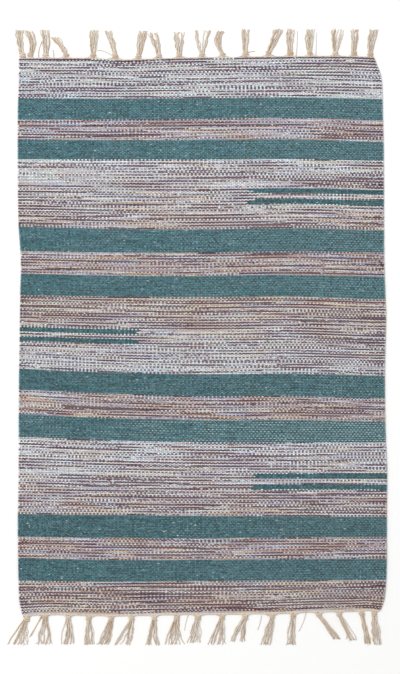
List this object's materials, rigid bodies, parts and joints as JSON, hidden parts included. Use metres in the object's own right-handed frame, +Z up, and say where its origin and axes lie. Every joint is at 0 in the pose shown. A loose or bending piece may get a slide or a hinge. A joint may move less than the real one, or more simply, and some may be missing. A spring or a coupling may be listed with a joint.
{
  "type": "kilim rug",
  "caption": "Flat-woven cotton rug of oblong outline, with solid and mixed-yarn bands across it and knotted warp tassels along both short ends.",
  "frame": {"origin": "on the floor, under the middle of the box round the whole rug, tassels included", "axes": "+X across the rug, +Y along it towards the end with the shorter-looking twined strip, +Z up out of the face that shows"},
  "size_m": [0.6196, 1.0158, 0.0047],
  "materials": {
    "woven_weft": "weft-faced plain weave of cotton, solid teal bands between bands of cream, grey, tan and plum yarn, matt",
    "warp_yarn": "undyed cotton warp yarn, knotted, matt"
  },
  "bodies": {
    "root": {"woven_panel": "woven_weft", "fringe_top": "warp_yarn", "fringe_bottom": "warp_yarn"}
  },
  "joints": []
}
